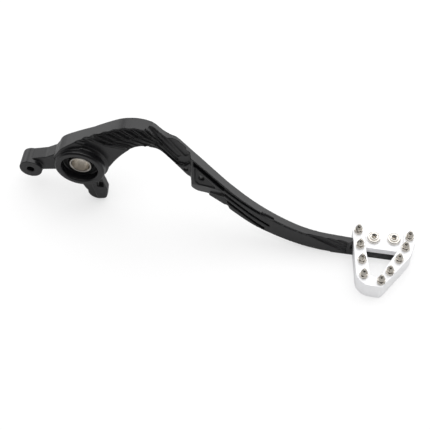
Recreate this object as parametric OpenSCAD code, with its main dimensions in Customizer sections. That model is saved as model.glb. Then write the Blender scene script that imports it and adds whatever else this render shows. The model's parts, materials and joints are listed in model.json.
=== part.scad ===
// Rear brake pedal for a motorbike, in millimetres.
// X runs from the pivot towards the toe plate, Y runs along the pivot away from the rider's boot,
// Z is up. The origin is on the pivot's axis.

/* [Pivot hub] */
// Outside diameter of the pivot hub
hub_d = 40.6; // [39:0.2:44]
// How far the hub's outer face stands in front of the origin
hub_front = 16; // [15:0.5:18]
// How far the hub's inner face stands behind the origin
hub_back = 9; // [9:0.5:12]
// Diameter of the recess for the pivot bolt's head
recess_d = 29.6; // [29:0.2:32]
// Depth of the recess for the pivot bolt's head
recess_depth = 7; // [6:0.5:9]
// Bevel on the hub's edges
hub_bevel = 1.2; // [0.6:0.1:2]

/* [Pivot bearing] */
// Bore of the steel pivot sleeve
sleeve_bore = 14.6; // [14:0.1:15.4]
// Outside diameter of the steel pivot sleeve
sleeve_d = 18; // [17:0.1:18.4]
// How far the sleeve's outer end lies behind the hub's outer face
sleeve_sink = 4.5; // [3:0.5:6]
// How far the sleeve's inner end stands proud of the hub's inner face
sleeve_proud = 1; // [0.5:0.1:3]
// Diameter of each needle
needle_d = 1.9; // [1.6:0.1:2]
// Number of needles
needle_n = 14; // [10:1:14]
// Wall of the drawn bearing cup
cup_wall = 1; // [0.8:0.1:1.2]
// Outside diameter of each dust seal
seal_d = 28; // [27.4:0.1:28.6]
// Thickness of each dust seal
seal_t = 3; // [2.5:0.1:3.5]

/* [Arm] */
// Distance along X from the pivot to the shoulder behind the toe plate
arm_reach = 219; // [205:1:235]
// Height of the arm's crest above the pivot
crest_z = 50.8; // [46:0.2:55]
// Thickness of the arm at the hub
arm_t_root = 9.6; // [9:0.1:11]
// Thickness of the arm at the tip
arm_t_tip = 5.9; // [5.5:0.1:8]
// Distance from the origin to the outer face of the arm at the hub
face_root = 8; // [7.5:0.1:9]
// How far the arm steps outwards between hub and tip
set_out = 24.5; // [20:0.5:28]
// Depth of the arm at the shoulder, seen from the side
tip_depth = 16; // [15:0.2:18]
// Height of the pivot above the surface that the pedal stands on
stand_h = 43; // [41:0.5:46]

/* [Flutes] */
// Number of milled flutes behind the crest
flute_n = 6; // [3:1:6]
// Depth of the flutes
flute_depth = 2.2; // [1.4:0.1:2.6]
// Depth of the long pocket behind the crest
pocket_depth = 1.8; // [1:0.1:2.2]
// Number of milled flutes at the tip
tail_flute_n = 4; // [2:1:4]
// Depth of the long grooves beside the ribs
groove_depth = 1.8; // [1:0.1:2.5]
// Depth of the slot above the gusset
slot_depth = 5.6; // [4:0.2:6]

/* [Lugs] */
// Distance from the pivot back to the push-rod hole
clevis_back = 43.8; // [41:0.2:48]
// Distance from the pivot down to the push-rod hole
clevis_drop = 19.2; // [17:0.2:21]
// Diameter of the push-rod boss
clevis_boss_d = 18.8; // [17:0.2:20]
// Diameter of the push-rod hole
clevis_hole_d = 6.2; // [5:0.1:8]
// Width of the push-rod boss along the pivot
clevis_w = 15; // [13:0.5:16]
// How far the push-rod lug's neck lies behind the boss's face
neck_inset = 3.6; // [2:0.2:5]
// Radius of the spring lug's end
lug_r = 8.2; // [7.8:0.1:9]
// Width of the slot for the spring's hook
lug_slot = 5.4; // [4.6:0.2:6]
// Diameter of the hole in the gusset
gusset_hole_d = 5; // [4:0.1:6]
// Diameter of the small hole in the lower flange
flange_hole_d = 3.6; // [3:0.1:4.2]

/* [Toe plate] */
// Height of the toe plate
plate_h = 15.5; // [14.5:0.1:17]
// Thickness of the web that the screws clamp
web_t = 5.5; // [4.5:0.1:6.5]
// Depth of the web below the toe plate's rim
web_sink = 2.5; // [1.5:0.1:3]
// Width of the web between the toe plate's rails
web_w = 31.9; // [31:0.1:36]
// Width of the rail beside the arm
rail_w = 9.4; // [8.8:0.1:11]
// Width of the rail at the toe plate's far side
far_rail_w = 10.5; // [9.8:0.1:12]
// Diameter of the toe plate's screws
screw_d = 5.9; // [5:0.1:6.2]
// Distance between the toe plate's screws
screw_pitch = 15.7; // [14:0.1:17]
// Clearance round the screws in the web
screw_clear = 0.25; // [0.1:0.05:0.4]

/* [Grip pins] */
// Size of the grip pins' collars across flats
pin_af = 6.2; // [5:0.1:6.6]
// Height of the grip pins' collars
pin_collar_h = 2.8; // [2:0.1:4]
// Height of the grip pins above the rim
pin_h = 9.2; // [7:0.1:11]
// Diameter of the grip pins' studs
pin_stud_d = 4.9; // [4:0.1:5]
// Length of the grip pins' studs
pin_stud_l = 6.5; // [5:0.1:7]

/* [Hidden] */

fit = 0.05;
gap = 0.3;
over = 1;
line_n = 5;
$fn = 96;

// Levels of the parts that stand on the ground
ground = -stand_h;
rim_z = ground + plate_h;
web_top = rim_z - web_sink;
web_bottom = web_top - web_t;

// Bearing, worked out from the sleeve outwards
sleeve_r = sleeve_d / 2;
pitch_r = sleeve_r + fit + needle_d / 2;
cup_in_r = pitch_r + needle_d / 2 + fit;
cup_r = cup_in_r + cup_wall;
seal_outer_y = -hub_front + recess_depth;
cup_y0 = seal_outer_y + seal_t;
cup_y1 = hub_back - seal_t;
cup_lip = 0.8;
cage_end = cup_lip + 0.3;
cage_t = 1.2;
needle_l = cup_y1 - cup_y0 - 2 * (cage_end + 0.8);

// A smooth curve through a few points
function catmull(a, b, c, d, t) =
    0.5 * (2 * b + (c - a) * t + (2 * a - 5 * b + 4 * c - d) * t * t
        + (3 * b - a - 3 * c + d) * t * t * t);
function smooth_line(p) = concat(
    [for (i = [0 : len(p) - 2], k = [0 : line_n - 1])
        catmull(p[max(i - 1, 0)], p[i], p[i + 1], p[min(i + 2, len(p) - 1)], k / line_n)],
    [p[len(p) - 1]]);

// An outline whose corners, given as [x, y, radius], are arcs
function unit(v) = v / norm(v);
function corner_arc(a, b, c, steps) =
    let (u = unit([a.x - b.x, a.y - b.y]), v = unit([c.x - b.x, c.y - b.y]))
    let (half = acos(u * v) / 2, reach = b[2] / tan(half))
    let (centre = [b.x, b.y] + unit(u + v) * b[2] / sin(half))
    let (p = [b.x, b.y] + u * reach, q = [b.x, b.y] + v * reach)
    let (from = atan2(p.y - centre.y, p.x - centre.x), to = atan2(q.y - centre.y, q.x - centre.x))
    let (turn = (to - from + 540) % 360 - 180)
    [for (k = [0 : steps]) centre + b[2] * [cos(from + turn * k / steps), sin(from + turn * k / steps)]];
function rounded(p) =
    [for (i = [0 : len(p) - 1]) each corner_arc(p[(i + len(p) - 1) % len(p)], p[i], p[(i + 1) % len(p)], 8)];

// Upper and lower edge of the arm, seen from the side
dip = crest_z - 50.8;
tail = arm_reach - 219;
tip_top = ground + tip_depth;
upper_edge = smooth_line([
    [-19.6, 7], [-15.2, 18], [-2, 27.7], [15, 37.7 + dip / 2], [32, 47.4 + dip], [41, 50.2 + dip],
    [48.2, crest_z], [58.2, 49.4 + dip], [65.6, 43.6 + dip], [71.5, 40.9 + dip / 2], [77.4, 40.3 + dip / 2],
    [82.4, 36.4], [90, 29.4], [104, 17.6], [122, 3.1], [141 + tail / 2, -8.5],
    [163 + tail, -17.4], [190 + tail, tip_top + 2.6], [arm_reach, tip_top], [arm_reach + 5, tip_top]]);
lower_edge = smooth_line([
    [arm_reach + 5, ground], [arm_reach, ground], [197 + tail, ground + 1.3], [178 + tail, ground + 3.6],
    [158 + tail, ground + 7.4], [141 + tail / 2, -30.8], [126, -22.9], [110, -13.2], [98, -5],
    [87.4, 0.2], [79.8, 9.8], [72.4, 19.8], [64.9, 28.6], [58, 30.8], [50, 29.8], [43, 26.2],
    [36, 18.8], [28.6, 8.6], [22, -3], [14, -14]]);

function line_z(p, x) =
    let (hits = [for (i = [0 : len(p) - 2])
        if (min(p[i].x, p[i + 1].x) <= x && x <= max(p[i].x, p[i + 1].x)) i])
    let (i = hits[0], t = (x - p[i].x) / (p[i + 1].x - p[i].x))
    p[i].y + t * (p[i + 1].y - p[i].y);
function mid_z(x, share) = line_z(upper_edge, x) * (1 - share) + line_z(lower_edge, x) * share;

// Outer face of the arm, seen from above
bend_start = 45;
bend_end = 200 + tail;
taper_start = 50;
taper_end = 176 + tail;
function share(x, a, b) = max(0, min(1, (x - a) / (b - a)));
function ease(t) = t * t * (3 - 2 * t);
function face(x) = -face_root - set_out * ease(share(x, bend_start, bend_end));
function thick(x) = arm_t_root + (arm_t_tip - arm_t_root) * share(x, taper_start, taper_end);
tip_face = face(arm_reach);
stations = [for (i = [0 : 36]) bend_start + i * (arm_reach - bend_start) / 36];

// The fluted web stays flat up to a step, where the outer skin of the arm begins
step_x = 89.8;
step_run = 1.4;
step_drop = 0.4;

module along_y(y0, y1) {
    translate([0, y1, 0]) rotate([90, 0, 0]) linear_extrude(y1 - y0) children();
}

module rod_y(d, y0, y1, x = 0, z = 0) {
    translate([x, y1, z]) rotate([90, 0, 0]) cylinder(d = d, h = y1 - y0);
}

module turned_y(profile) {
    rotate([-90, 0, 0]) rotate_extrude() polygon(profile);
}

module rod_between(a, b, r) {
    v = b - a;
    translate(a) rotate([0, acos(v.z / norm(v)), atan2(v.y, v.x)]) cylinder(r = r, h = norm(v));
}

// Toe plate outline, seen from above
shoulder_gap = 0.8;
side_lean = 0.171;
back_lean = 0.068;
inner_lean = 0.45;
inner_knee = 8.1;
plate_x = arm_reach + shoulder_gap;
plate_y = tip_face + 16.8;
plate_nose = tip_face - 36.2;
recess_right = plate_x + rail_w + web_w;
plate_right = recess_right + far_rail_w;
knee = [recess_right + 6.9, tip_face - 4];
nose_x = recess_right - 13;
function plate_left(y) = plate_x + side_lean * (plate_y - y);
function plate_back(x) = plate_y + back_lean * (x - plate_x);
function inner_left(y) = plate_left(y) + rail_w;
function inner_right(y) = recess_right - inner_lean * max(0, tip_face + inner_knee - y);
function outer_right(y) = y > knee.y
    ? knee.x + (plate_right - knee.x) * (y - knee.y) / (plate_back(plate_right) - knee.y)
    : knee.x + (nose_x - knee.x) * (y - knee.y) / (plate_nose - knee.y);
plate_outline = rounded([
    [plate_x, plate_y, 3], [plate_right, plate_back(plate_right), 3], [knee.x, knee.y, 20],
    [nose_x, plate_nose - 0.4, 4], [plate_left(plate_nose), plate_nose, 13]]);
window_tip = tip_face - 27.2;
window_outline = rounded([
    [inner_left(tip_face), tip_face, 0.6], [inner_right(tip_face), tip_face, 0.6],
    [inner_right(window_tip), window_tip, 2.6], [inner_left(window_tip) + 1.6, window_tip, 4]]);

// Grip pins on the rail beside the arm and on the far rail
left_pins = [for (i = [0 : 3])
    let (y = tip_face + 13 - 13.55 * i) [plate_left(y) + rail_w / 2 + 0.4 * i, y]];
far_rail_pins = [[13.1, 5], [2.5, 5.8], [-9.3, 5.6], [-21.5, 4.2], [-31.2, 4.2]];
right_pins = [for (p = far_rail_pins) [outer_right(tip_face + p[0]) - p[1], tip_face + p[0]]];
pins = concat(left_pins, right_pins);

// Toe plate screws and the tongue that they hold
screw_y = tip_face + 10.3;
screw_lean = 0.08;
screw_mid = (inner_left(screw_y) + recess_right) / 2;
screws = [for (side = [-1, 1]) [screw_mid, screw_y] + side * screw_pitch / 2 * [1, screw_lean]];
tongue_start = plate_x + rail_w - 0.8;
tongue_end = recess_right + 0.8;
tongue_back = plate_y - 2.2;
screw_head_d = 10.5;
screw_head_h = 3.3;
screw_socket = 4;
head_clear = 0.6;

// Side and plan outlines of the arm
module side_outline() {
    polygon(concat(upper_edge, lower_edge));
    polygon(gusset_outline);
}

gusset_left = step_x - 0.5;
gusset_outline = rounded([
    [gusset_left, 24, 1], [gusset_left, -14.2, 7], [104, -13, 9], [118, -19.4, 1], [122, -6, 1]]);

function end_x(y) = plate_left(y) - gap;
tip_round = 3.6;
module plan_outline() {
    web = [[-23, -face_root], [step_x - step_run, -face_root - step_drop], [step_x, face(step_x)]];
    front = concat(web, [for (x = stations) if (x > step_x && x < arm_reach - 1) [x, face(x)]]);
    corner = [for (k = [0 : 6])
        [end_x(tip_face + tip_round), tip_face + tip_round] - tip_round * [1 - sin(k * 15), cos(k * 15)]];
    back = [for (i = [len(stations) - 1 : -1 : 0]) [stations[i], face(stations[i]) + thick(stations[i])]];
    polygon(concat(front, corner, [[end_x(tip_face + arm_t_tip), tip_face + arm_t_tip]], back,
        [[-23, -face_root + arm_t_root]]));
}

side_reach = 60;
module arm_bar() {
    intersection() {
        along_y(-side_reach, side_reach) side_outline();
        translate([0, 0, -side_reach]) linear_extrude(2 * side_reach) plan_outline();
    }
}

// The outer skin of the arm, down to a depth
module skin(depth) {
    translate([0, 0, -side_reach]) linear_extrude(2 * side_reach)
        polygon(concat([for (x = stations) [x, face(x) - 6]],
            [for (i = [len(stations) - 1 : -1 : 0]) [stations[i], face(stations[i]) + depth]]));
}

// A strip along the arm, from one share of its depth to another, that may drift towards its end
module strip(x0, x1, from, to, drift = 0) {
    steps = 12;
    function edge(share, i) = [x0 + i * (x1 - x0) / steps, mid_z(x0 + i * (x1 - x0) / steps,
        share + drift * pow(i / steps, 2))];
    along_y(-side_reach, side_reach)
        polygon(concat([for (i = [0 : steps]) edge(from, i)], [for (i = [steps : -1 : 0]) edge(to, i)]));
}

// One milled flute, steep on its lower side and shallow towards the next one; lean lets it run out
module flute(start, angle, run, width, depth, back_off = 4, rise = 4, lean = 0) {
    steps = 8;
    profile = [for (i = [0 : steps]) [width * i / steps, depth * sin(180 * sqrt(i / steps))]];
    translate(start) rotate([0, angle - 90, 0]) rotate([-lean, 0, 0]) translate([0, 0, -run])
        linear_extrude(run + back_off) polygon(concat([[0, -rise]], profile, [[width, -rise]]));
}

// The flutes behind the crest run down from the upper edge, then bend towards the lower one
bend_run = 18;
land = 0.2;
function flute_x(i) = 4.2 + 6.9 * i + 0.18 * i * i;
function flute_angle(i) = 22.5 + 4.5 * i;
function bend_angle(i) = 4 + 1.1 * i * i;
function flute_width(i) =
    let (dx = flute_x(i + 1) - flute_x(i))
    let (dz = line_z(upper_edge, flute_x(i + 1)) - line_z(upper_edge, flute_x(i)))
    dx * sin(flute_angle(i)) + dz * cos(flute_angle(i));
module crest_flutes() {
    for (i = [0 : flute_n - 1]) {
        x = flute_x(i);
        z = line_z(upper_edge, x);
        angle = flute_angle(i);
        flute([x, -face_root - land, z], angle, bend_run, flute_width(i), flute_depth + land, 4, 4 + 0.3 * i);
        flute([x + bend_run * cos(angle), -face_root - land, z - bend_run * sin(angle)], bend_angle(i),
            22 - 2.2 * i, 0.8 * flute_width(i), 0.95 * flute_depth, 1, 4.1 + 0.3 * i);
    }
}

module tail_flutes() {
    for (i = [0 : tail_flute_n - 1]) {
        x = arm_reach - 36 + 8.2 * i;
        flute([x, tip_face - 0.1, line_z(upper_edge, x)], 28, 46, 5.2, 1.5);
    }
}

// The long pocket behind the crest: a flat floor inside a lip, with two long flutes in it
pocket_floor = -face_root + pocket_depth;
pocket_side = [
    [56, 70, 1], [56, 42, 3], [65, 30.4, 4], [78.4, 13.6, 2.5], [84, 12.4, 3], [88.4, 17, 3],
    [88.4, 29.5, 3], [83, 36.5, 4], [76, 44.5, 1], [70, 70, 1]];
// Each is [x, z, angle, run, width, sink at its upper end]
pocket_flutes = [
    [53.8, 48.8, 54.5, 40, 2.6, 0.3], [57.7, 46.5, 52.4, 33, 7, 2.1], [66.5, 46, 53.7, 29, 7.4, 1.4]];
module pocket() {
    intersection() {
        along_y(-side_reach, pocket_floor) polygon(rounded(pocket_side));
        translate([0, 0, -side_reach]) linear_extrude(2 * side_reach)
            polygon([[54, -face_root - 4], [54, -face_root], [64, pocket_floor], [90, pocket_floor + 0.4],
                [90, -side_reach], [54, -side_reach]]);
    }
    for (f = pocket_flutes)
        flute([f[0], pocket_floor - 0.3 + f[5], f[1]], f[2], f[3], f[4], 0.55 * flute_depth, 4, 5 + f[5],
            asin(f[5] / f[3]));
}

// Long grooves that leave two ribs, and the deep slot above the gusset
slot_start = step_x + 1.8;
module grooves() {
    intersection() {
        skin(groove_depth);
        union() {
            strip(112, 158 + tail, 0.07, 0.2, -0.09);
            strip(113, 155 + tail, 0.33, 0.47, 0.15);
            strip(117, 151 + tail, 0.61, 0.75, 0.2);
        }
    }
    intersection() {
        skin(groove_depth / 2);
        strip(158 + tail, arm_reach - 13, 0.055, 0.1, 0.02);
    }
    intersection() {
        skin(slot_depth);
        strip(slot_start, 117, 0.045, 0.25, 0.03);
    }
}

// The gusset's pad leans back inside a narrow rim, its foot falls away below, and the lower flange
// comes out from under the foot
pad_lean = 6;
foot_lean = 13;
foot_end = 117;
foot_z = -8.8;
flange_x = 104.7;
flange_sink = 1.5;
pad_yaw = atan((face(104) - face(92)) / 12);
foot_yaw = atan((face(foot_end) - face(92)) / (foot_end - 92)) + 4;
pad_z = -1.2;
pad_left = slot_start + 1.2;
module gusset_pad_cut() {
    intersection() {
        along_y(-side_reach, side_reach)
            polygon([[pad_left, 19.4], [pad_left, 1.6], [pad_left + 3, pad_z], [110, 0.6], [109.5, 2.4]]);
        translate([98, face(98) + 0.9, pad_z]) rotate([0, 0, pad_yaw]) rotate([-pad_lean, 0, 0])
            translate([-15, -20, -5]) cube([30, 20, 40]);
    }
    intersection() {
        along_y(-side_reach, side_reach) polygon([[80, pad_z], [foot_end, pad_z], [foot_end, foot_z + 0.6],
            [flange_x, foot_z], [flange_x - 2, -24], [80, -24]]);
        translate([98, face(98), pad_z]) rotate([0, 0, foot_yaw]) rotate([foot_lean, 0, 0])
            translate([-15, -20, -24]) cube([40, 20, 24]);
    }
    intersection() {
        skin(flange_sink);
        along_y(-side_reach, side_reach) polygon([[flange_x - 1, foot_z - 0.05], [foot_end + 0.6, foot_z + 0.6],
            [foot_end + 6, -26], [flange_x - 3, -26]]);
    }
}

// Push-rod lug behind the hub
module clevis_lug() {
    rod_y(clevis_boss_d, -face_root, clevis_w - face_root, -clevis_back, -clevis_drop);
    along_y(-face_root + neck_inset, clevis_w - face_root)
        polygon([[-clevis_back + 1, -clevis_drop + clevis_boss_d / 2], [-31, -5.6], [-22, 0.8], [-14, 8],
            [-8, -15.4], [-20, -18.8], [-33, -21.8], [-clevis_back + 4, -clevis_drop - 4]]);
}

// Spring lug below the hub: a plate with a raised boss
lug_x = 11.5;
lug_z = ground + lug_r;
lug_front = -13.5;
lug_step = 2;
lug_back = -7;
module spring_lug() {
    rod_y(2 * lug_r, lug_front + lug_step, lug_back, lug_x, lug_z);
    along_y(lug_front + lug_step, lug_back)
        polygon([[lug_x - lug_r + 0.4, lug_z + 1.4], [1.2, -28.6], [-5, -12], [14, -8],
            [lug_x + lug_r - 1.6, lug_z + 4], [lug_x, lug_z - 2]]);
    along_y(lug_front, lug_back)
        polygon(rounded([[8, -12, 1], [8.2, -23, 4], [lug_x, lug_z - 4.8, 2.4],
            [lug_x + 7.8, lug_z - 4.2, 4.6], [lug_x + 9.2, lug_z + 8.6, 5], [17, -12, 1]]));
}

module spring_slot() {
    along_y(lug_front - over, lug_back + over)
        translate([lug_x + 0.9, lug_z + 11.8]) square([lug_slot, lug_slot + 1.4]);
}

// Holes in the gusset and in the lower flange, as [x, z]
gusset_hole = [98, 5.8];
flange_hole = [84.9, 8.7];

hub_r = hub_d / 2;
module hub_body() {
    turned_y([[0, -hub_front], [hub_r - hub_bevel, -hub_front], [hub_r, -hub_front + hub_bevel],
        [hub_r, -face_root - 2], [hub_r + 2, -face_root], [hub_r + 2, 0], [hub_r - 1.8, 4],
        [hub_r - 1.8, hub_back - hub_bevel], [hub_r - 1.8 - hub_bevel, hub_back], [0, hub_back]]);
}

module hub_bores() {
    turned_y([[0, -hub_front - over], [recess_d / 2 + 1, -hub_front - over], [recess_d / 2 + 1, -hub_front],
        [recess_d / 2, -hub_front + 0.8], [recess_d / 2, seal_outer_y], [0, seal_outer_y]]);
    rod_y(seal_d, seal_outer_y - over, cup_y0);
    rod_y(2 * cup_r, cup_y0 - over, cup_y1 + over);
    rod_y(seal_d, cup_y1, hub_back + over);
}

module tongue() {
    arm_back = tip_face + arm_t_tip;
    translate([0, 0, ground]) linear_extrude(web_bottom - ground) polygon(concat(
        [[arm_reach - 14, arm_back], [arm_reach - 14, tip_face]],
        rounded([[tongue_start - 2, tip_face, 0.1], [tongue_end, tip_face, 2],
            [tongue_end, tongue_back, 4], [tongue_start, tongue_back, 1],
            [tongue_start, arm_back, 1], [tongue_start - 2, arm_back, 0.1]])));
}

module pedal_lever() {
    color([0.2, 0.2, 0.21]) difference() {
        union() {
            arm_bar();
            hub_body();
            clevis_lug();
            spring_lug();
            tongue();
        }
        hub_bores();
        difference() {
            crest_flutes();
            rod_y(hub_d + 3, -side_reach, side_reach);
        }
        pocket();
        grooves();
        gusset_pad_cut();
        intersection() {
            tail_flutes();
            translate([0, -side_reach, -side_reach]) cube([arm_reach - 1.5, side_reach, 2 * side_reach]);
        }
        spring_slot();
        rod_y(clevis_hole_d, -side_reach, side_reach, -clevis_back, -clevis_drop);
        rod_y(gusset_hole_d, -side_reach, side_reach, gusset_hole.x, gusset_hole.y);
        rod_y(flange_hole_d, -side_reach, side_reach, flange_hole.x, flange_hole.y);
        for (p = screws)
            translate([p.x, p.y, ground - over]) cylinder(d = screw_d + 2 * fit, h = plate_h);
    }
}

module pivot_sleeve() {
    r = sleeve_bore / 2;
    color([0.72, 0.7, 0.67]) turned_y([
        [r, -hub_front + sleeve_sink + 0.4], [r + 0.4, -hub_front + sleeve_sink],
        [sleeve_r - 0.3, -hub_front + sleeve_sink], [sleeve_r, -hub_front + sleeve_sink + 0.3],
        [sleeve_r, hub_back + sleeve_proud - 0.3], [sleeve_r - 0.3, hub_back + sleeve_proud],
        [r + 0.4, hub_back + sleeve_proud], [r, hub_back + sleeve_proud - 0.4]]);
}

module bearing_cup() {
    lip_r = sleeve_r + 0.5;
    color([0.66, 0.66, 0.68]) turned_y([
        [lip_r, cup_y0], [cup_r, cup_y0], [cup_r, cup_y1], [lip_r, cup_y1], [lip_r, cup_y1 - cup_lip],
        [cup_in_r, cup_y1 - cup_lip], [cup_in_r, cup_y0 + cup_lip], [lip_r, cup_y0 + cup_lip]]);
}

function needle_angle(i) = 360 * (i - 1) / needle_n;
module needle_cage() {
    color([0.6, 0.58, 0.5]) difference() {
        rod_y(2 * pitch_r + cage_t, cup_y0 + cage_end, cup_y1 - cage_end);
        rod_y(2 * pitch_r - cage_t, cup_y0, cup_y1);
        for (i = [1 : needle_n])
            rotate([0, needle_angle(i), 0])
                translate([pitch_r, (cup_y0 + cup_y1) / 2, 0])
                    cube([4, needle_l + 2 * fit, needle_d + 2 * fit], center = true);
    }
}

module needle(i) {
    mid_y = (cup_y0 + cup_y1) / 2;
    color([0.75, 0.75, 0.78]) rotate([0, needle_angle(i), 0])
        rod_y(needle_d, mid_y - needle_l / 2, mid_y + needle_l / 2, pitch_r, 0, $fn = 24);
}

// A dust seal with a lip that runs on the sleeve
module dust_seal(y, side) {
    lip = sleeve_r + fit;
    color([0.1, 0.1, 0.11]) turned_y([
        [lip + 1.4, y], [seal_d / 2, y], [seal_d / 2, y + side * seal_t], [lip + 0.6, y + side * seal_t],
        [lip, y + side * (seal_t - 0.6)], [lip, y + side * (seal_t - 1.2)], [lip + 1.4, y + side * 0.8]]);
}

module outer_dust_seal() {
    dust_seal(seal_outer_y, 1);
}

module inner_dust_seal() {
    dust_seal(hub_back, -1);
}

module toe_plate() {
    pocket_x = tongue_start - gap;
    color([0.9, 0.9, 0.91]) difference() {
        translate([0, 0, ground]) linear_extrude(plate_h) polygon(plate_outline);
        translate([0, 0, ground - over]) linear_extrude(plate_h + 2 * over) polygon(window_outline);
        translate([0, 0, web_top]) linear_extrude(plate_h)
            polygon([[inner_left(plate_y), plate_y + 6], [recess_right, plate_y + 6],
                [recess_right, tip_face + inner_knee], [inner_right(tip_face), tip_face - 0.1],
                [inner_left(tip_face), tip_face - 0.1]]);
        translate([plate_x - 3, tip_face - gap, ground - over])
            cube([rail_w + 6, arm_t_tip + 2 * gap, web_bottom - ground + over]);
        translate([pocket_x, tip_face - gap, ground - over])
            cube([tongue_end - pocket_x + gap, tongue_back - tip_face + 2 * gap,
                web_bottom - ground + over]);
        for (p = screws) {
            translate([p.x, p.y, ground]) cylinder(d = screw_d + 2 * screw_clear, h = plate_h);
            translate([p.x, p.y, web_top]) cylinder(d = screw_head_d + 2 * head_clear, h = plate_h);
        }
        for (p = pins)
            translate([p.x, p.y, rim_z - pin_stud_l - 0.5])
                cylinder(d = pin_stud_d + 2 * fit, h = pin_stud_l + over);
    }
}

// Button-head screw with a hexagon socket
module toe_screw(p) {
    r = screw_head_d / 2;
    color([0.78, 0.78, 0.8]) translate([p.x, p.y, web_top]) difference() {
        union() {
            rotate_extrude() polygon(concat([[0, 0], [r, 0], [r, 0.7]],
                [for (k = [1 : 6]) [r * cos(k * 10), 0.7 + (screw_head_h - 0.7) * sin(k * 10) / sin(60)]],
                [[0, screw_head_h]]));
            translate([0, 0, ground + 0.6 - web_top]) cylinder(d = screw_d, h = web_top - ground - 0.6);
        }
        translate([0, 0, screw_head_h - 2.2]) cylinder(d = screw_socket / cos(30), h = 3, $fn = 6);
    }
}

// Pointed grip pin with a hexagon collar
module grip_pin(i) {
    p = pins[i - 1];
    cone_r = pin_af / 2 - 0.3;
    tip_r = 1.1;
    cone = pin_h - pin_collar_h;
    color([0.7, 0.69, 0.66]) translate([p.x, p.y, rim_z]) {
        rotate([0, 0, 17 * i]) cylinder(d = pin_af / cos(30), h = pin_collar_h, $fn = 6);
        rotate_extrude($fn = 48) polygon(concat(
            [[0, -pin_stud_l], [pin_stud_d / 2, -pin_stud_l], [pin_stud_d / 2, 0.5],
                [cone_r - 0.5, pin_collar_h], [cone_r, pin_collar_h + 0.5],
                [cone_r, pin_collar_h + 0.24 * cone], [tip_r + 0.2, pin_h - 0.9]],
            [for (k = [0 : 3]) [tip_r * cos(k * 30), pin_h - 0.9 + 0.9 * sin(k * 30)]]));
    }
}

pedal_lever();
pivot_sleeve();
bearing_cup();
needle_cage();
for (i = [1 : needle_n]) needle(i);
outer_dust_seal();
inner_dust_seal();
toe_plate();
toe_screw(screws[0]);  // toe_screw_1
toe_screw(screws[1]);  // toe_screw_2
for (i = [1 : 9]) grip_pin(i);
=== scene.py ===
import json
import math

import bpy
from mathutils import Matrix, Vector


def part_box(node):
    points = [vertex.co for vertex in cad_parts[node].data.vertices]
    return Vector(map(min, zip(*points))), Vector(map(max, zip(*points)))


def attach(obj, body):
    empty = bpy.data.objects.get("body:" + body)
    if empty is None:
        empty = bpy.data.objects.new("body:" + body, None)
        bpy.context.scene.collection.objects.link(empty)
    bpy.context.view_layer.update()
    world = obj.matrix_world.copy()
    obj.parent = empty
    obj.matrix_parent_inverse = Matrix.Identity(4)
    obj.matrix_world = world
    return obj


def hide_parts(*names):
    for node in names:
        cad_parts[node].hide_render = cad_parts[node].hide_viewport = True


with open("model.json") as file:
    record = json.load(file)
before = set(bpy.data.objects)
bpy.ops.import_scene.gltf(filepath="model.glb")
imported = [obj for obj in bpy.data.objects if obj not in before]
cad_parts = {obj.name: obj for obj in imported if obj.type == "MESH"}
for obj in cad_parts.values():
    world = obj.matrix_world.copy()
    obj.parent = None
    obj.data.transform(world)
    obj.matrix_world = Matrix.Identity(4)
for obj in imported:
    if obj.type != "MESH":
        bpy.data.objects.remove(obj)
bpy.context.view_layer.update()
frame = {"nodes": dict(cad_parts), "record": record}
print("stage: frame loaded")

millimetre = 0.001
bumpDepth = 0.02 * millimetre  # depth of the finest relief on every finish
mergeDistance = 0.002 * millimetre  # points of a CAD node closer than this are one


def hexToLinear(code):  # sRGB hex to linear colour
    channels = [int(code[i:i + 2], 16) / 255 for i in (1, 3, 5)]
    return [c / 12.92 if c <= 0.04045 else ((c + 0.055) / 1.055) ** 2.4 for c in channels] + [1]


def addNode(tree, kind, settings=None, links=None):
    node = tree.nodes.new(kind)
    for name, value in (settings or {}).items():
        if isinstance(name, int) or name in node.inputs:
            node.inputs[name].default_value = value
        else:
            setattr(node, name, value)
    for name, source in (links or {}).items():
        tree.links.new(source, node.inputs[name])
    return node


def newMaterial(name, settings):
    material = bpy.data.materials.new(name)
    material.use_nodes = True
    tree = material.node_tree
    tree.nodes.clear()
    surface = addNode(tree, "ShaderNodeBsdfPrincipled", settings)
    addNode(tree, "ShaderNodeOutputMaterial", {}, {"Surface": surface.outputs["BSDF"]})
    place = addNode(tree, "ShaderNodeTexCoord").outputs["Object"]
    return material, tree, surface, place


def perMetre(sizeMm):  # texture scale for a pattern that repeats at a size in millimetres
    return 1 / (sizeMm * millimetre)


# Materials

def linkFinish(tree, surface, look, patches, relief):  # tint from one pattern, gloss and bump from another
    colour = addNode(tree, "ShaderNodeValToRGB", {}, {"Fac": patches})
    for stop, code in zip(colour.color_ramp.elements, look["colours"]):
        stop.color = hexToLinear(code)
    rough = addNode(tree, "ShaderNodeMapRange", {
        "To Min": look["roughness"][0], "To Max": look["roughness"][1]}, {"Value": relief})
    bump = addNode(tree, "ShaderNodeBump", {"Strength": look["bump"], "Distance": bumpDepth},
                   {"Height": relief})
    tree.links.new(colour.outputs["Color"], surface.inputs["Base Color"])
    tree.links.new(rough.outputs["Result"], surface.inputs["Roughness"])
    tree.links.new(bump.outputs["Normal"], surface.inputs["Normal"])


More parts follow.
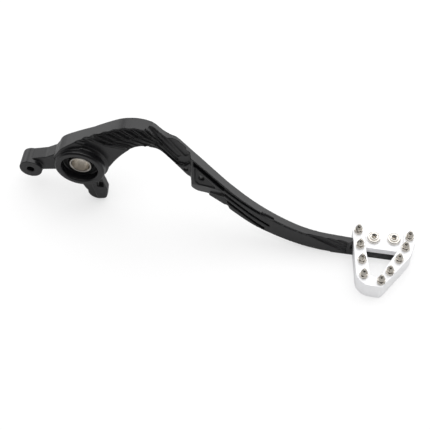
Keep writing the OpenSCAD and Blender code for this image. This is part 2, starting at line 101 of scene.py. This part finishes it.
def blackAnodisedAluminium():
    look = {"colours": ("#111113", "#171719"), "grainMm": 0.45, "cloudMm": 14,
            "roughness": (0.27, 0.36), "bump": 0.12}
    material, tree, surface, place = newMaterial("satinBlackAnodisedAluminium", {
        "IOR": 1.58, "Metallic": 0.0})  # dyed oxide skin: dark body, clear satin reflection
    cloud = addNode(tree, "ShaderNodeTexNoise", {"Scale": perMetre(look["cloudMm"]), "Detail": 3.0},
                    {"Vector": place})
    grain = addNode(tree, "ShaderNodeTexNoise", {"Scale": perMetre(look["grainMm"]), "Detail": 2.0},
                    {"Vector": place})  # blasted grain, drawn coarser than the real 0.1 mm to show
    linkFinish(tree, surface, look, cloud.outputs["Fac"], grain.outputs["Fac"])
    return material


def machinedAluminium():
    look = {"colours": ("#F4F4F6", "#FAFAFB"), "markMm": 0.5, "cloudMm": 9,
            "roughness": (0.3, 0.42), "bump": 0.1, "stretch": (0.06, 1.0, 1.0)}
    material, tree, surface, place = newMaterial("clearAnodisedMachinedAluminium", {
        "Metallic": 0.2})  # milled, then clear anodised: pale and satin
    cloud = addNode(tree, "ShaderNodeTexNoise", {"Scale": perMetre(look["cloudMm"]), "Detail": 4.0},
                    {"Vector": place})
    stretch = addNode(tree, "ShaderNodeMapping", {"Scale": look["stretch"]}, {"Vector": place})
    marks = addNode(tree, "ShaderNodeTexNoise", {"Scale": perMetre(look["markMm"]), "Detail": 1.0},
                    {"Vector": stretch.outputs["Vector"]})  # cutter marks along X, drawn at 0.5 mm to show
    linkFinish(tree, surface, look, cloud.outputs["Fac"], marks.outputs["Fac"])
    return material


def turnedMetal(name, look):  # bare or plated, with faint rings where it was turned, drawn or ground
    material, tree, surface, place = newMaterial(name, {"Metallic": 1.0})
    stretch = addNode(tree, "ShaderNodeMapping", {"Scale": look["stretch"]}, {"Vector": place})
    rings = addNode(tree, "ShaderNodeTexNoise", {"Scale": perMetre(look["ringMm"]), "Detail": 2.0},
                    {"Vector": stretch.outputs["Vector"]})
    linkFinish(tree, surface, look, rings.outputs["Fac"], rings.outputs["Fac"])
    return material


def nitrileRubber():
    look = {"colour": "#0C0C0D", "grainMm": 0.3, "roughness": 0.55, "bump": 0.2}
    material, tree, surface, place = newMaterial("mouldedNitrileRubber", {
        "Base Color": hexToLinear(look["colour"]), "IOR": 1.5,
        "Roughness": look["roughness"]})  # moulded: deep black and dull, with a fine grain
    grain = addNode(tree, "ShaderNodeTexNoise", {"Scale": perMetre(look["grainMm"])}, {"Vector": place})
    bump = addNode(tree, "ShaderNodeBump", {"Strength": look["bump"], "Distance": bumpDepth},
                   {"Height": grain.outputs["Fac"]})
    tree.links.new(bump.outputs["Normal"], surface.inputs["Normal"])
    return material


ringsRoundY = (0.02, 1.0, 0.02)  # a pattern that changes only along an axis makes rings round it
ringsRoundZ = (0.02, 0.02, 1.0)
noRings = (1.0, 1.0, 1.0)
finishes = {
    "black_anodised_lever": blackAnodisedAluminium(),
    "machined_aluminium": machinedAluminium(),
    "seal_rubber": nitrileRubber(),
    "steel_sleeve": turnedMetal("groundSteelSleeve", {  # ground, then plated: warm grey and softly blurred
        "colours": ("#C0BBB3", "#CBC6BF"), "ringMm": 1.6, "roughness": (0.3, 0.33), "bump": 0.0,
        "stretch": ringsRoundY}),
    "drawn_steel_cup": turnedMetal("drawnSteelCup", {  # drawn and oiled: plain grey
        "colours": ("#A2A2A7", "#B9B9BD"), "ringMm": 1.2, "roughness": (0.25, 0.35), "bump": 0.1,
        "stretch": ringsRoundY}),
    "sheet_steel_cage": turnedMetal("formedSheetSteelCage", {  # formed and oiled: yellowish grey, no rings
        "colours": ("#9A9484", "#B3AD9C"), "ringMm": 2.0, "roughness": (0.3, 0.4), "bump": 0.1,
        "stretch": noRings}),
    "needle_steel": turnedMetal("groundBearingSteel", {  # ground: bright, with sharp reflections
        "colours": ("#C4C4C9", "#D6D6DA"), "ringMm": 0.5, "roughness": (0.1, 0.18), "bump": 0.05,
        "stretch": ringsRoundY}),
    "plated_screw": turnedMetal("nickelPlatedScrew", {  # nickel plate: bright, warm, nearly a mirror
        "colours": ("#D8D4CE", "#E4E1DC"), "ringMm": 0.5, "roughness": (0.06, 0.1), "bump": 0.01,
        "stretch": ringsRoundZ}),
    "nickel_pin": turnedMetal("nickelPlatedPinWithPaintedShade", {  # the same plate on turned pins, a little warmer, with a darker tone than on the screws that is painted shade
        "colours": ("#C6C0B6", "#DCD7CF"), "ringMm": 0.6, "roughness": (0.05, 0.09), "bump": 0.01,
        "stretch": ringsRoundZ}),
}
slotOf = {part["node"]: part["material_slot"] for part in frame["record"]["subparts"]}
bodies = frame["record"]["behaviour"]["bodies"]
bodyOf = {node: body for body, members in bodies.items() for node in members}


def paint(piece, slot):
    piece.data.materials.clear()
    piece.data.materials.append(finishes[slot])


for nodeName, nodeObject in frame["nodes"].items():
    paint(nodeObject, slotOf[nodeName])
print("stage: materials made")


# Helpers for modelled pieces

def selectOnly(piece):
    if bpy.context.object and bpy.context.object.mode != "OBJECT":
        bpy.ops.object.mode_set(mode="OBJECT")
    bpy.ops.object.select_all(action="DESELECT")
    piece.select_set(True)
    bpy.context.view_layer.objects.active = piece


def applyModifier(piece, kind, settings):
    selectOnly(piece)
    modifier = piece.modifiers.new(kind, kind)
    for name, value in settings.items():
        setattr(modifier, name, value)
    bpy.ops.object.modifier_apply(modifier=modifier.name)


def combine(piece, tool, operation):
    applyModifier(piece, "BOOLEAN", {"object": tool, "operation": operation, "solver": "EXACT"})
    bpy.data.objects.remove(tool)


def duplicate(source, name):
    piece = source.copy()
    piece.data = source.data.copy()
    piece.name = name
    bpy.context.scene.collection.objects.link(piece)
    return piece


def mergedCopy(nodeName, pieceName):  # a CAD node's copy, with its loose triangles merged
    piece = duplicate(frame["nodes"][nodeName], pieceName)
    selectOnly(piece)
    bpy.ops.mesh.customdata_custom_splitnormals_clear()
    bpy.ops.object.mode_set(mode="EDIT")
    bpy.ops.mesh.select_all(action="SELECT")
    bpy.ops.mesh.remove_doubles(threshold=mergeDistance)
    bpy.ops.object.mode_set(mode="OBJECT")
    return piece


def finishPiece(piece, nodeName):
    paint(piece, slotOf[nodeName])
    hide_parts(nodeName)
    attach(piece, bodyOf[nodeName])
    print("stage:", piece.name, len(piece.data.polygons), "faces")


def ease(share):  # from 0 to 1 with a soft start and end
    share = max(0.0, min(1.0, share))
    return share * share * (3 - 2 * share)


# Lever and toe plate: the machined solids with their edges broken, as deburring and blasting leave them

brokenEdges = {  # sizes and regions in millimetres
    "pedal_lever": {
        "name": "leverWithBrokenEdges", "gridMm": 0.42, "rounds": 2, "mostTriangles": 196000, "rounder": [
            {"from": (-26, -13.6, 16), "to": (14, -4.5, 42), "fade": 2, "rounds": 7},  # shoulder
            {"from": (10, -12, 12), "to": (68, -3, 60), "fade": 2, "rounds": 4},  # fluted flank
            {"from": (86, -40, -24), "to": (124, 20, 22), "fade": 3, "rounds": 9},  # gusset
            {"from": (-70, -40, -50), "to": (-21, 20, 20), "fade": 3, "rounds": 8},  # push-rod lug
            {"from": (0, -40, -50), "to": (30, 20, -20.5), "fade": 2, "rounds": 8},  # spring lug
            {"from": (0, -40, -60), "to": (40, 20, -31), "fade": 4, "rounds": 30},  # end of the spring lug
        ]},
    "toe_plate": {
        "name": "toePlateWithBrokenEdges", "gridMm": 0.42, "rounds": 3, "mostTriangles": 120000,
        "rounder": []},
}
smoothing = 0.5  # how far each round of smoothing moves a point towards its neighbours
shoulder = {  # the arm's flank comes out towards the boot to meet the hub, in millimetres
    "topFrom": 158, "topTo": 71, "topSteps": 24,  # degrees round the pivot that its top edge spans
    "topDepth": -4.0, "topBeyond": 60,  # y and radius from which the arm's top edge is looked for
    "inner": [(13, 31.5), (7.5, 27), (1, 21.5), (-3, 14), (-12, 8)],  # x and z of its lower edge
    "front": [(-21, -14.2), (-16, -14.2), (12.6, -7.9)],  # x and y of its front, seen from above
    "lean": 0.8, "leanTo": 8,  # how far its top edge lies back near the hub, and the x where that ends
    "back": -5.0,  # y of its flat back, inside the arm
    "flutes": [{"start": (2.2, 27.4), "angle": 20}, {"start": (8.2, 31.2), "angle": 23}],
    "fluteWidth": 5.4, "fluteDepth": 1.6, "fluteLift": 0.2, "fluteRun": 22, "fluteSides": 32,
    "fluteOverrun": 10,  # how much longer the cutter is than the flute
}


def frontOfShoulder(x):
    (x0, y0), (x1, y1), (x2, y2) = shoulder["front"]
    return y0 if x < x1 else y1 + (y2 - y1) * (x - x1) / (x2 - x1)


def topOfShoulder(lever):  # follows the arm's own top edge round the pivot
    points = []
    for step in range(shoulder["topSteps"] + 1):
        share = step / shoulder["topSteps"]
        turn = math.radians(shoulder["topFrom"] + (shoulder["topTo"] - shoulder["topFrom"]) * share)
        outwards = Vector((math.cos(turn), 0, math.sin(turn)))
        start = (outwards * shoulder["topBeyond"] + Vector((0, shoulder["topDepth"], 0))) * millimetre
        place = lever.ray_cast(start, -outwards)[1]
        points.append((place.x / millimetre, place.z / millimetre))
    return points


def shoulderBlank(lever):  # a disc pulled to the shoulder's front, then extruded to its flat back
    top = [(x, z, shoulder["lean"] * ease((shoulder["leanTo"] - x) / shoulder["leanTo"]))
           for x, z in topOfShoulder(lever)]
    rim = top + [(x, z, 0) for x, z in shoulder["inner"]]
    bpy.ops.object.select_all(action="DESELECT")
    bpy.ops.mesh.primitive_circle_add(vertices=len(rim), fill_type="NGON")
    piece = bpy.context.object
    piece.name = "shoulder"
    for vertex, (x, z, lean) in zip(piece.data.vertices, rim):
        vertex.co = Vector((x, frontOfShoulder(x) + lean, z)) * millimetre
    back = shoulder["back"] * millimetre
    bpy.ops.object.mode_set(mode="EDIT")
    bpy.ops.mesh.select_all(action="SELECT")
    bpy.ops.mesh.extrude_region_move(TRANSFORM_OT_translate={"value": (0, -back, 0)})
    bpy.ops.transform.resize(value=(1, 0, 1), center_override=(0, back, 0))
    bpy.ops.mesh.select_all(action="SELECT")
    bpy.ops.mesh.quads_convert_to_tris()
    bpy.ops.mesh.normals_make_consistent(inside=False)
    bpy.ops.object.mode_set(mode="OBJECT")
    return piece


def cutShoulderFlute(piece, flute):  # a round-bottomed cut that follows the shoulder's front
    (x1, y1), (x2, y2) = shoulder["front"][1:]
    slope = (y2 - y1) / (x2 - x1)
    angle = math.radians(flute["angle"])
    x, z = flute["start"]
    along = Vector((math.cos(angle), slope * math.cos(angle), -math.sin(angle))).normalized()
    middle = Vector((x, frontOfShoulder(x) - shoulder["fluteLift"], z)) + along * shoulder["fluteRun"] / 2
    towardsBoot = Vector((0, -1, 0))
    out = (towardsBoot - along * along.dot(towardsBoot)).normalized()
    turn = Matrix((along.cross(out), out, along)).transposed().to_4x4()
    size = Vector((shoulder["fluteWidth"], 2 * shoulder["fluteDepth"],
                   shoulder["fluteRun"] + shoulder["fluteOverrun"])) * millimetre
    bpy.ops.object.select_all(action="DESELECT")
    bpy.ops.mesh.primitive_cylinder_add(vertices=shoulder["fluteSides"], radius=0.5, depth=1)
    cutter = bpy.context.object
    cutter.matrix_world = Matrix.Translation(middle * millimetre) @ turn @ Matrix.Diagonal((*size, 1))
    combine(piece, cutter, "DIFFERENCE")


def joinShoulder(lever):
    piece = shoulderBlank(lever)
    for flute in shoulder["flutes"]:
        cutShoulderFlute(piece, flute)
    selectOnly(lever)
    piece.select_set(True)
    bpy.ops.object.join()


# The flank of the arm: a little thicker at the crest, with flutes deeper inside and shallow at its edges

flank = {  # millimetres
    "lowest": 12,  # z below which nothing is shaped
    "crestFrom": 12, "crestTo": 78, "crestMore": 1.7,
    "crestSpread": 0.6,  # the further below 1, the longer the crest keeps its full thickness
    "backFrom": -5.0, "backTo": -1.0,  # the extra thickness grows between these y, towards the back
    "rimFrom": 12, "rimTo": 66,  # x between which the flutes are shaped
    "rimFade": 8,  # their shallow ends fade out over this length before rimTo
    "rimDepth": 3.2,  # distance from an edge of the arm at which they start to run out
    "rimFace": -7.5,  # y of the ridges between them
    "skin": (-8.2, -4.5),  # y between which the fluted skin lies
    "core": -3.5,  # y of the plane inside the arm from which its edges are measured
    "pocket": -4.8, "pocketFade": 0.6,  # floors further back than this stay as they are
    "deeper": 0.45, "deeperFade": 2, "deeperStart": 6,  # share, and the distances over which it sets in
}


def distanceToSkin(guide, start, upwards):  # millimetres from a point inside to the top or bottom edge
    found, place = guide.ray_cast(start, Vector((0, 0, upwards)))[:2]
    return abs(place.z - start.z) / millimetre if found else 0


def fluteShift(guide, x, y, z):  # how far back a point of the fluted skin moves
    start = Vector((x, flank["core"], z)) * millimetre
    reach = min(distanceToSkin(guide, start, 1), distanceToSkin(guide, start, -1))
    edge = (1 - ease(reach / flank["rimDepth"])) * ease((flank["rimTo"] - x) / flank["rimFade"])
    inside = ease((reach - flank["rimDepth"]) / flank["deeperFade"])
    inside *= ease((x - flank["rimFrom"]) / flank["deeperStart"])
    shallower = edge * ease((flank["pocket"] - y) / flank["pocketFade"])
    return max(0, y - flank["rimFace"]) * (flank["deeper"] * inside - shallower)


def shapeFlank(piece, guide):
    skinFront, skinBack = flank["skin"]
    length = flank["crestTo"] - flank["crestFrom"]
    for vertex in piece.data.vertices:
        x, y, z = vertex.co / millimetre
        if z < flank["lowest"] or not flank["crestFrom"] < x < flank["crestTo"]:
            continue
        crest = math.sin(math.pi * (x - flank["crestFrom"]) / length) ** flank["crestSpread"]
        back = ease((y - flank["backFrom"]) / (flank["backTo"] - flank["backFrom"]))
        shift = flank["crestMore"] * crest * back
        if flank["rimFrom"] < x < flank["rimTo"] and skinFront < y < skinBack:
            shift += fluteShift(guide, x, y, z)
        vertex.co.y += shift * millimetre


def softenEdges(piece, region):  # rounder edges where the forging was blended by hand
    group = piece.vertex_groups.new(name="rounder")
    low, high = region["from"], region["to"]
    for vertex in piece.data.vertices:
        place = vertex.co / millimetre
        inset = min(min(place[i] - low[i], high[i] - place[i]) for i in range(3))
        if inset > 0:
            group.add([vertex.index], ease(inset / region["fade"]), "REPLACE")
    applyModifier(piece, "SMOOTH", {
        "factor": smoothing, "iterations": region["rounds"], "vertex_group": group.name})
    piece.vertex_groups.clear()


def breakEdges(nodeName):
    size = brokenEdges[nodeName]
    piece = mergedCopy(nodeName, size["name"])
    if nodeName == "pedal_lever":
        joinShoulder(piece)
    guide = duplicate(piece, "edgeGuide")
    applyModifier(piece, "REMESH", {"mode": "VOXEL", "voxel_size": size["gridMm"] * millimetre})
    applyModifier(piece, "SHRINKWRAP", {"target": guide, "wrap_method": "NEAREST_SURFACEPOINT"})
    if nodeName == "pedal_lever":
        shapeFlank(piece, guide)
    applyModifier(piece, "SMOOTH", {"factor": smoothing, "iterations": size["rounds"]})
    for region in size["rounder"]:
        softenEdges(piece, region)
    share = size["mostTriangles"] / sum(len(face.vertices) - 2 for face in piece.data.polygons)
    if share < 1:
        applyModifier(piece, "DECIMATE", {"ratio": share})
    selectOnly(piece)
    bpy.ops.object.shade_smooth()
    bpy.data.objects.remove(guide)
    finishPiece(piece, nodeName)


for nodeName in brokenEdges:
    breakEdges(nodeName)


# Screws and grip pins: turned blanks, with their hexagons cut as on the real ones

toeScrew = {  # millimetres, from the seat of the head up
    "height": 3.3, "shankRadius": 2.95, "chamfer": 0.4,
    "shankTop": -0.01,  # just under the seat, so that the head starts with a ring of its own
    "head": [(5.1, 0), (5.25, 0.15), (5.25, 1.75), (5.12, 2.15), (4.8, 2.42), (4.4, 2.5), (3.85, 2.4),
             (3.6, 1.95), (3.3, 1.95), (3.25, 3.05), (3.1, 3.3), (2.5, 3.3), (2.2, 3.1), (1.75, 2.6)],
    "socketFlats": 3.2, "socketFloor": -2.0, "cutterOver": 1, "sides": 64,
    "count": 2, "turnFrom": 0, "turnEach": 20,  # degrees: each one stops at its own angle when tight
}
gripPin = {  # millimetres, from the toe plate's rim up
    "height": 9.2, "studRadius": 2.45, "studLength": 6.5, "chamfer": 0.4,
    "flats": 6.2, "collarHeight": 2.8,
    "collarShape": [(3.35, 0), (3.8, 0.3), (3.8, 2.15), (3.1, 2.8)],
    "cone": [(2.2, 2.7), (2.05, 2.95), (2.1, 3.2), (2.72, 3.45), (2.85, 3.8), (2.72, 4.6), (2.35, 5.7),
             (1.85, 6.8), (1.4, 7.6), (1.15, 7.95), (1.15, 8.35), (0.95, 8.8), (0.6, 9.1), (0.25, 9.2)],
    "sides": 40,
    "count": 9, "turnFrom": 30, "turnEach": 17,  # degrees, as for the screws
}
turnedEdges = {"bevelMm": 0.1, "bevelSteps": 2, "bevelFrom": 38, "smoothTo": 32}  # both limits in degrees


def turnedBlank(name, steps, sides):  # extruded upwards from its foot, through each radius and height
    bpy.ops.object.select_all(action="DESELECT")
    radius, height = steps[0]
    bpy.ops.mesh.primitive_circle_add(vertices=sides, radius=radius * millimetre, fill_type="NGON")
    piece = bpy.context.object
    piece.name = name
    bpy.ops.object.mode_set(mode="EDIT")
    bpy.ops.transform.translate(value=(0, 0, height * millimetre))
    for nextRadius, nextHeight in steps[1:]:
        bpy.ops.mesh.extrude_region_move(
            TRANSFORM_OT_translate={"value": (0, 0, (nextHeight - height) * millimetre)})
        share = nextRadius / radius
        bpy.ops.transform.resize(value=(share, share, 1), center_override=(0, 0, nextHeight * millimetre))
        radius, height = nextRadius, nextHeight
    bpy.ops.mesh.select_all(action="SELECT")
    bpy.ops.mesh.normals_make_consistent(inside=False)
    bpy.ops.object.mode_set(mode="OBJECT")
    return piece


def hexagonBar(flats, low, high):
    corner = flats / 2 / math.cos(math.pi / 6)
    return turnedBlank("hexagonBar", [(corner, low), (corner, high)], 6)


def finishTurning(piece):  # small broken edges, smooth between them
    applyModifier(piece, "BEVEL", {
        "width": turnedEdges["bevelMm"] * millimetre, "segments": turnedEdges["bevelSteps"],
        "limit_method": "ANGLE", "angle_limit": math.radians(turnedEdges["bevelFrom"])})
    selectOnly(piece)
    bpy.ops.object.shade_smooth_by_angle(angle=math.radians(turnedEdges["smoothTo"]))


def toeScrewMaster():
    low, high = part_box("toe_screw_1")
    length = (high[2] - low[2]) / millimetre - toeScrew["height"]
    radius, chamfer = toeScrew["shankRadius"], toeScrew["chamfer"]
    shank = [(radius - chamfer, -length), (radius, chamfer - length), (radius, toeScrew["shankTop"])]
    piece = turnedBlank("toeScrewMaster", shank + toeScrew["head"], toeScrew["sides"])
    cutterTop = toeScrew["height"] + toeScrew["cutterOver"]
    socket = hexagonBar(toeScrew["socketFlats"], toeScrew["socketFloor"], cutterTop)
    combine(piece, socket, "DIFFERENCE")
    finishTurning(piece)
    return piece


def gripPinMaster():
    piece = hexagonBar(gripPin["flats"], 0, gripPin["collarHeight"])
    piece.name = "gripPinMaster"
    combine(piece, turnedBlank("collarShape", gripPin["collarShape"], gripPin["sides"]), "INTERSECT")
    radius, chamfer, length = gripPin["studRadius"], gripPin["chamfer"], gripPin["studLength"]
    stud = [(radius - chamfer, -length), (radius, chamfer - length)]
    combine(piece, turnedBlank("coneAndStud", stud + gripPin["cone"], gripPin["sides"]), "UNION")
    finishTurning(piece)
    return piece


def placeCopies(master, size, pieceName, nodeName):  # the top of each lies level with its node's
    for number in range(1, size["count"] + 1):
        low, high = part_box(nodeName + str(number))
        middle = [(a + b) / 2 for a, b in zip(low, high)]
        seat = Vector((middle[0], middle[1], high[2] - size["height"] * millimetre))
        turn = math.radians(size["turnFrom"] + size["turnEach"] * number)
        piece = duplicate(master, pieceName + str(number))
        piece.data.transform(Matrix.Translation(seat) @ Matrix.Rotation(turn, 4, "Z"))
        finishPiece(piece, nodeName + str(number))
    bpy.data.objects.remove(master)


placeCopies(toeScrewMaster(), toeScrew, "toeScrewTurned", "toe_screw_")
placeCopies(gripPinMaster(), gripPin, "gripPinTurned", "grip_pin_")


# Floor, light and camera

studio = {
    "floorZ": -43.12 * millimetre,
    "floorColour": "#F4F4F4",
    "floorSize": 6.0,
    "floorShade": 0.45,  # share of the shadows that the white floor keeps, as on a lit table
    "floorGloss": 0.1,  # how bright the floor is in reflections, where white is 1
    "room": 0.3,  # level of the dim room in reflections beyond the softboxes, where white is 1
    "roomFront": 0.01,  # the same for the dark end of the room, low behind the camera
    "roomFrontTo": -0.5, "roomFrom": 0.1,  # y of a direction where the dark end stops and the room starts
    "roomFill": 0.62,  # level of the soft fill that the room gives matt surfaces
    "aim": Vector((0.1, -0.02, 0.0)),
}
# Each softbox: where it stands as seen from the pedal, how far off, its width and height, and its level
softboxes = {
    "overheadBox": {"towards": (0.02, 0.28, 0.96), "distance": 1.3, "size": (2.2, 1.9), "level": 1.36},
    "rightBackBox": {"towards": (0.76, 0.56, 0.33), "distance": 1.1, "size": (0.9, 0.7), "level": 1.5},
    "leftBackBox": {"towards": (-0.78, 0.57, 0.25), "distance": 1.1, "size": (0.9, 0.5), "level": 1.2},
}


def plainFloor():
    middle = (studio["aim"].x, 0, studio["floorZ"])
    bpy.ops.mesh.primitive_plane_add(size=studio["floorSize"], location=middle)
    floor = bpy.context.object
    floor.name = "studioFloor"
    material, tree, surface = newMaterial("matteWhiteFloor", {
        "Base Color": hexToLinear(studio["floorColour"]), "Roughness": 1.0, "Specular IOR Level": 0.0})[:3]
    white = addNode(tree, "ShaderNodeEmission", {"Color": (1, 1, 1, 1), "Strength": 1.0})
    lit = addNode(tree, "ShaderNodeMixShader", {0: studio["floorShade"]}, {
        1: white.outputs["Emission"], 2: surface.outputs["BSDF"]})
    path = addNode(tree, "ShaderNodeLightPath")
    seen = addNode(tree, "ShaderNodeMath", {"operation": "MAXIMUM"}, {
        0: path.outputs["Is Camera Ray"], 1: path.outputs["Is Glossy Ray"]})
    level = addNode(tree, "ShaderNodeMapRange", {"To Min": 1.0, "To Max": studio["floorGloss"]},
                    {"Value": path.outputs["Is Glossy Ray"]})
    tree.links.new(level.outputs["Result"], white.inputs["Strength"])
    mix = addNode(tree, "ShaderNodeMixShader", {}, {
        0: seen.outputs["Value"], 1: surface.outputs["BSDF"], 2: lit.outputs["Shader"]})
    tree.links.new(mix.outputs["Shader"], tree.nodes["Material Output"].inputs["Surface"])
    floor.data.materials.append(material)


def studioWorld():
    world = bpy.data.worlds.new("dimRoom")
    bpy.context.scene.world = world
    world.use_nodes = True
    tree = world.node_tree
    tree.nodes.clear()
    direction = addNode(tree, "ShaderNodeTexCoord").outputs["Generated"]
    split = addNode(tree, "ShaderNodeSeparateXYZ", {}, {"Vector": direction})
    level = addNode(tree, "ShaderNodeMapRange", {
        "From Min": studio["roomFrontTo"], "From Max": studio["roomFrom"],
        "To Min": studio["roomFront"], "To Max": studio["room"]}, {"Value": split.outputs["Y"]})
    room = addNode(tree, "ShaderNodeBackground", {"Color": (1, 1, 1, 1)},
                   {"Strength": level.outputs["Result"]})
    white = addNode(tree, "ShaderNodeBackground", {"Color": (1, 1, 1, 1), "Strength": 1.0})
    fill = addNode(tree, "ShaderNodeBackground", {"Color": (1, 1, 1, 1), "Strength": studio["roomFill"]})
    path = addNode(tree, "ShaderNodeLightPath")
    lit = addNode(tree, "ShaderNodeMixShader", {}, {
        0: path.outputs["Is Diffuse Ray"], 1: room.outputs["Background"], 2: fill.outputs["Background"]})
    mix = addNode(tree, "ShaderNodeMixShader", {}, {
        0: path.outputs["Is Camera Ray"], 1: lit.outputs["Shader"], 2: white.outputs["Background"]})
    addNode(tree, "ShaderNodeOutputWorld", {}, {"Surface": mix.outputs["Shader"]})


def softbox(name):
    box = softboxes[name]
    data = bpy.data.lights.new(name, "AREA")
    data.shape = "RECTANGLE"
    data.size, data.size_y = box["size"]
    data.energy = math.pi * data.size * data.size_y * box["level"]  # its face then has this level
    light = bpy.data.objects.new(name, data)
    bpy.context.scene.collection.objects.link(light)
    towards = Vector(box["towards"]).normalized()
    light.location = studio["aim"] + towards * box["distance"]
    light.rotation_euler = towards.to_track_quat("Z", "Y").to_euler()


def photoCamera():  # worked out from the round shapes in the photograph, in metres
    view = {"place": Vector((0.2077, -0.6108, 0.8239)), "right": Vector((0.9866, 0.1633, 0.0)),
            "up": Vector((-0.1338, 0.8082, 0.5736)), "focalPx": 1300, "widthPx": 430, "sensorMm": 36,
            "nearest": 0.01}
    data = bpy.data.cameras.new("photoCamera")
    data.sensor_fit = "HORIZONTAL"
    data.sensor_width = view["sensorMm"]
    data.lens = view["sensorMm"] * view["focalPx"] / view["widthPx"]
    data.clip_start = view["nearest"]
    camera = bpy.data.objects.new("photoCamera", data)
    bpy.context.scene.collection.objects.link(camera)
    back = view["right"].cross(view["up"])
    turn = Matrix((view["right"], view["up"], back)).transposed().to_4x4()
    camera.matrix_world = Matrix.Translation(view["place"]) @ turn
    bpy.context.scene.camera = camera


plainFloor()
studioWorld()
for name in softboxes:
    softbox(name)
photoCamera()
bpy.context.scene.view_settings.view_transform = "Standard"
print("stage: studio set")
